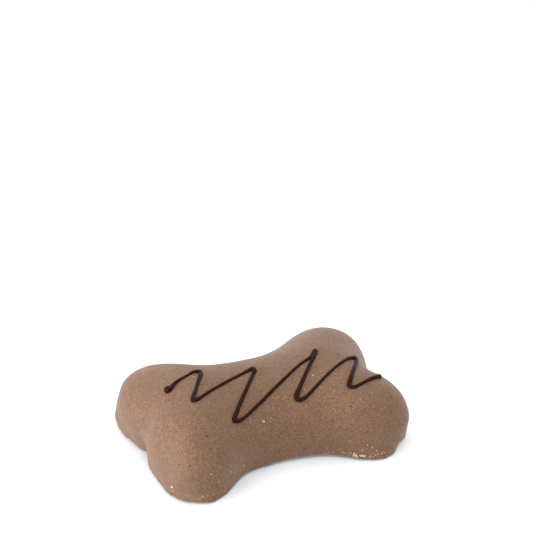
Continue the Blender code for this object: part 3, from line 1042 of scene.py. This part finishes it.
@dataclass
class Grains:
    """All the grains of one kind, as one piece: those that the photograph shows, the
    drifts at the foot, and a few strewn over the rest. Sizes are in mm."""

    kind: GrainKind
    tone: str
    shade: str
    seed: int
    seen: tuple[Spot, ...] = ()
    drifts: tuple[Drift, ...] = ()
    strewn: int = 0
    at_foot: int = 0
    sizes: tuple[float, float] = (0.4, 0.8)
    foot: tuple[float, float] = (0.3 * MM, 2.4 * MM)
    proportions: tuple[float, float, float] = (1.0, 0.72, 0.5)
    jaggedness: float = 0.07
    slimness: tuple[float, float] = (0.75, 1.0)
    sunk: float = 0.12
    hidden_by: float = 1.0 * MM
    margin: float = 0.6 * MM
    strewn_seed: int = 100
    turn_seed: int = 200

    def model(self) -> bpy.types.Object:
        """Models one rough grain, a metre long, to be copied at its true size.

        Returns:
            The grain.
        """
        deselect_all()
        bpy.ops.mesh.primitive_ico_sphere_add(subdivisions=1, radius=0.5)
        grain = bpy.context.object
        bpy.ops.object.mode_set(mode="EDIT")
        bpy.ops.mesh.select_all(action="SELECT")
        bpy.ops.transform.resize(value=self.proportions, center_override=(0.0, 0.0, 0.0))
        bpy.ops.transform.vertex_random(offset=self.jaggedness, seed=self.seed)
        bpy.ops.object.mode_set(mode="OBJECT")
        return grain

    def on_sight(self, loaf: bpy.types.Object, camera: PhotoCamera) -> list[tuple[Vector, Vector, float]]:
        """Finds where the grains that the photograph shows lie on the loaf.

        Args:
            loaf: The loaf.
            camera: The camera at the photograph's angle.

        Returns:
            Each grain's place, the way out of the skin there, and its size in mm.
        """
        draw = np.random.default_rng(self.seed)
        pixels = list(self.seen)
        for drift in self.drifts:
            for _ in range(drift.count):
                way = draw.uniform()
                x = drift.first[0] + (drift.last[0] - drift.first[0]) * way
                y = drift.first[1] + (drift.last[1] - drift.first[1]) * way
                x += draw.normal(0.0, drift.spread)
                y += draw.normal(0.0, drift.spread * drift.flatness)
                pixels.append((x, y, draw.uniform(*drift.sizes)))
        found = []
        for x, y, size in pixels:
            hit, place, normal, _ = loaf.ray_cast(camera.eye(), camera.ray(x, y))
            if hit and place.z > self.foot[0]:
                found.append((place, normal, size))
        return found

    def at_random(self, loaf: bpy.types.Object, camera: PhotoCamera) -> list[tuple[Vector, Vector, float]]:
        """Strews grains over the far side of the skin and around its foot.

        Args:
            loaf: The loaf.
            camera: The camera at the photograph's angle, which sees none of them.

        Returns:
            Each grain's place, the way out of the skin there, and its size in mm.
        """
        eye = camera.eye()
        draw = np.random.default_rng(self.seed + self.strewn_seed)
        faces = loaf.data.polygons
        areas = np.empty(len(faces))
        centres = np.empty((len(faces), 3))
        faces.foreach_get("area", areas)
        faces.foreach_get("center", centres.ravel())
        plan, height = centres[:, :2], centres[:, 2]
        # The margin keeps grains from standing out past the loaf's own box
        inner = (plan > plan.min(axis=0) + self.margin) & (plan < plan.max(axis=0) - self.margin)
        over = np.where(inner.all(axis=1) & (height > self.foot[0]), areas, 0.0)
        low = np.where(height < self.foot[1], over, 0.0)
        chosen = [*draw.choice(len(faces), self.strewn, p=over / over.sum())]
        chosen += [*draw.choice(len(faces), self.at_foot, p=low / low.sum())]
        found = []
        for i in chosen:
            place = faces[i].center.copy()
            _, first, _, _ = loaf.ray_cast(eye, (place - eye).normalized())
            if (first - place).length > self.hidden_by:
                found.append((place, faces[i].normal.copy(), draw.uniform(*self.sizes)))
        return found

    def build(self, loaf: bpy.types.Object, camera: PhotoCamera) -> bpy.types.Object:
        """Sets the grains into the loaf's skin.

        Args:
            loaf: The loaf.
            camera: The camera at the photograph's angle.

        Returns:
            All the grains, as one piece.
        """
        draw = np.random.default_rng(self.seed + self.turn_seed)
        model = self.model()
        placings = []
        for place, normal, size in self.on_sight(loaf, camera) + self.at_random(loaf, camera):
            spin = Euler((0.0, 0.0, draw.uniform(0.0, math.tau))).to_quaternion()
            width = size * MM * draw.uniform(*self.slimness)
            placings.append(
                Matrix.LocRotScale(
                    place + normal * size * MM * self.sunk,
                    normal.to_track_quat("Z", "Y") @ spin,
                    Vector((size * MM, width, width)),
                )
            )
        piece = joined_copies(model, placings, self.kind.value)
        bpy.ops.object.shade_smooth()
        return piece

    def dress(self, piece: bpy.types.Object) -> None:
        """Gives the grains their dry, dull finish."""
        finish = GroundGrain(f"{self.kind.value}_dry", tone=self.tone, shade=self.shade)
        piece.data.materials.append(finish.material())


ALL_GRAINS = (
    Grains(
        GrainKind.BRAN,
        "#43342F",
        "#2F2727",
        11,
        seen=(
            (318.4, 374.4, 0.9), (289.6, 395.6, 0.9), (350.8, 406.2, 1.0), (305.5, 344.0, 0.8),
            (264.5, 451.9, 0.9), (131.3, 408.6, 0.9), (179.0, 464.1, 0.9), (189.6, 465.4, 1.0),
            (206.3, 435.6, 1.0), (207.0, 436.8, 0.9), (162.5, 430.8, 0.8), (174.6, 427.6, 0.7),
            (258.5, 379.5, 0.8), (337.7, 354.2, 0.9), (295.5, 421.8, 0.8), (281.5, 433.5, 0.9),
            (150.5, 390.3, 0.6), (139.7, 386.0, 0.6),
        ),
        strewn=60,
        sizes=(0.5, 0.85),
    ),
    Grains(
        GrainKind.OAT,
        "#C9B59A",
        "#B79F85",
        12,
        seen=(
            (163.0, 381.4, 0.9), (194.6, 376.8, 1.0), (241.0, 378.5, 0.9), (302.5, 367.0, 0.9),
            (231.4, 465.9, 0.8), (230.4, 471.7, 1.2), (211.0, 474.2, 0.9), (219.3, 481.4, 0.8),
            (138.9, 373.4, 0.8), (143.8, 374.4, 0.7), (155.5, 368.3, 0.7), (278.5, 374.6, 0.6),
            (204.3, 485.3, 0.6),
        ),
        drifts=(Drift((250.0, 467.0), (300.0, 454.5), 16, 1.2, (0.3, 0.6)),),
        strewn=44,
        at_foot=60,
        sizes=(0.4, 0.8),
    ),
    Grains(
        GrainKind.FLOUR,
        "#E0D2C4",
        "#C6B2A1",
        13,
        seen=(
            (262.3, 419.8, 0.7), (263.6, 421.7, 1.5), (313.2, 375.4, 0.9), (330.6, 341.8, 0.7),
            (243.5, 465.9, 0.9), (349.5, 440.9, 0.6), (367.4, 445.1, 0.9), (372.4, 447.3, 0.8),
            (376.6, 450.7, 0.9), (362.6, 450.1, 0.8), (172.4, 487.2, 1.3), (171.6, 486.2, 0.9),
        ),
        drifts=(
            Drift((353.3, 453.4), (356.6, 456.0), 26, 1.0, (0.35, 0.95)),
            Drift((360.8, 455.4), (365.2, 456.6), 32, 0.9, (0.35, 0.95)),
            Drift((367.0, 457.0), (387.0, 452.0), 9, 1.1, (0.3, 0.6)),
            Drift((170.0, 491.0), (205.0, 500.0), 16, 0.7, (0.3, 0.5)),
        ),
        strewn=8,
        at_foot=40,
    ),
    Grains(
        GrainKind.BISCUIT,
        "#BDA28A",
        "#9C7B62",
        14,
        drifts=(
            Drift((368.0, 457.6), (388.0, 451.5), 22, 1.0, (0.35, 0.8)),
            Drift((190.0, 499.8), (226.0, 490.8), 36, 0.7, (0.35, 0.7)),
            Drift((133.5, 440.2), (146.0, 450.5), 24, 0.6, (0.35, 0.7)),
            Drift((342.5, 451.8), (348.5, 454.8), 16, 1.4, (0.4, 0.8)),
            Drift((322.5, 453.0), (335.5, 452.2), 24, 0.5, (0.35, 0.7)),
        ),
        at_foot=150,
        sizes=(0.35, 0.75),
    ),
    Grains(
        GrainKind.BEET,
        "#D8605F",
        "#C24F50",
        15,
        seen=((176.6, 375.5, 0.9), (177.4, 374.7, 1.0), (230.4, 452.3, 0.7), (148.6, 369.2, 0.6)),
        strewn=6,
        sizes=(0.5, 0.9),
    ),
    Grains(
        GrainKind.MAIZE,
        "#A88A2E",
        "#94781F",
        16,
        seen=((239.6, 370.3, 0.8),),
        strewn=5,
        sizes=(0.5, 0.8),
    ),
)


@dataclass(frozen=True)
class Softbox:
    """A studio light that faces the cake, never seen itself.

    Its azimuth is counted like the camera's: 0 in front, 90 to the right. Its strength
    is what white paper that faces it would show, 1 being full white.
    """

    name: str
    azimuth: float
    elevation: float
    width: float
    height: float
    strength: float
    distance: float = 1.0

    def build(self, target: Vector) -> None:
        """Hangs the light and turns it to the target.

        Args:
            target: The point that the light faces.
        """
        out = way_out(self.azimuth, self.elevation)
        deselect_all()
        bpy.ops.object.light_add(
            type="AREA",
            location=target + out * self.distance,
            rotation=out.to_track_quat("Z", "Y").to_euler(),
        )
        lamp = bpy.context.object
        lamp.name = self.name
        lamp.visible_camera = False
        lamp.data.shape = "RECTANGLE"
        lamp.data.size = self.width
        lamp.data.size_y = self.height
        lamp.data.energy = self.strength * (math.pi * self.distance) ** 2


@dataclass
class StudioSet:
    """A plain white floor, soft lights and an even white surround."""

    floor_side: float = 12.0
    aim_height: float = 0.02
    surround: float = 1.055
    lights: tuple[Softbox, ...] = (
        Softbox("left_key", -95.0, 8.0, 0.5, 0.26, 0.60),
        Softbox("left_fill", -75.0, 8.0, 0.5, 0.26, 0.45),
        Softbox("right_card_low", 130.0, 10.0, 0.6, 0.3, 0.095),
        Softbox("right_card_high", 135.0, 28.0, 0.6, 0.4, 0.085),
        Softbox("overhead_back", -140.0, 68.0, 0.6, 0.5, 0.185),
        Softbox("overhead_front", 30.0, 68.0, 0.6, 0.5, 0.26),
    )

    def build(self) -> bpy.types.Object:
        """Lays the floor and hangs the lights.

        Returns:
            The floor.
        """
        deselect_all()
        bpy.ops.mesh.primitive_plane_add(size=self.floor_side)
        floor = bpy.context.object
        floor.name = "paper_floor"
        floor.data.materials.append(SeamlessPaper().material())
        for light in self.lights:
            light.build(Vector((0.0, 0.0, self.aim_height)))
        world = bpy.data.worlds.new("white_surround")
        world.use_nodes = True
        world.node_tree.nodes["Background"].inputs["Color"].default_value = (1.0, 1.0, 1.0, 1.0)
        world.node_tree.nodes["Background"].inputs["Strength"].default_value = self.surround
        bpy.context.scene.world = world
        bpy.context.scene.view_settings.view_transform = "Standard"
        return floor


def stand_on_model(loaf: bpy.types.Object, others: Iterable[bpy.types.Object]) -> Vector:
    """Moves the cake so that its footprint is centred where the model's solid stands.

    Args:
        loaf: The loaf.
        others: The pieces that lie on it.

    Returns:
        How far everything was moved.
    """
    low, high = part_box(CAKE_NODE)
    places = coordinates(loaf.data)
    middle = Vector((places.min(axis=0) + places.max(axis=0)) / 2.0)
    shift = (low + high) / 2.0 - middle
    shift.z = 0.0
    for piece in [loaf, *others]:
        piece.data.transform(Matrix.Translation(shift))
    return shift


def attach(piece: bpy.types.Object) -> None:
    """Fixes a piece to the cake's body and reports it.

    Args:
        piece: The finished piece.
    """
    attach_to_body(piece, BODY)
    log.info("%s: %d faces", piece.name, len(piece.data.polygons))


def main() -> None:
    """Builds and dresses the cake, then the set and the camera."""
    logging.basicConfig(level=logging.INFO, format="%(message)s")
    form = BoneForm()
    loaf_maker = CoatedLoaf(form)
    loaf = loaf_maker.build()
    loaf_maker.dress(loaf)
    drizzle_maker = PipedDrizzle(form)
    drizzle = drizzle_maker.build()
    drizzle_maker.dress(drizzle)
    camera = PhotoCamera(stand_on_model(loaf, [drizzle]))
    camera.build()
    attach(loaf)
    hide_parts(CAKE_NODE)
    attach(drizzle)
    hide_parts(CAKE_NODE)
    for grains in ALL_GRAINS:
        piece = grains.build(loaf, camera)
        grains.dress(piece)
        attach(piece)
    StudioSet().build()


if __name__ == "__main__":
    main()
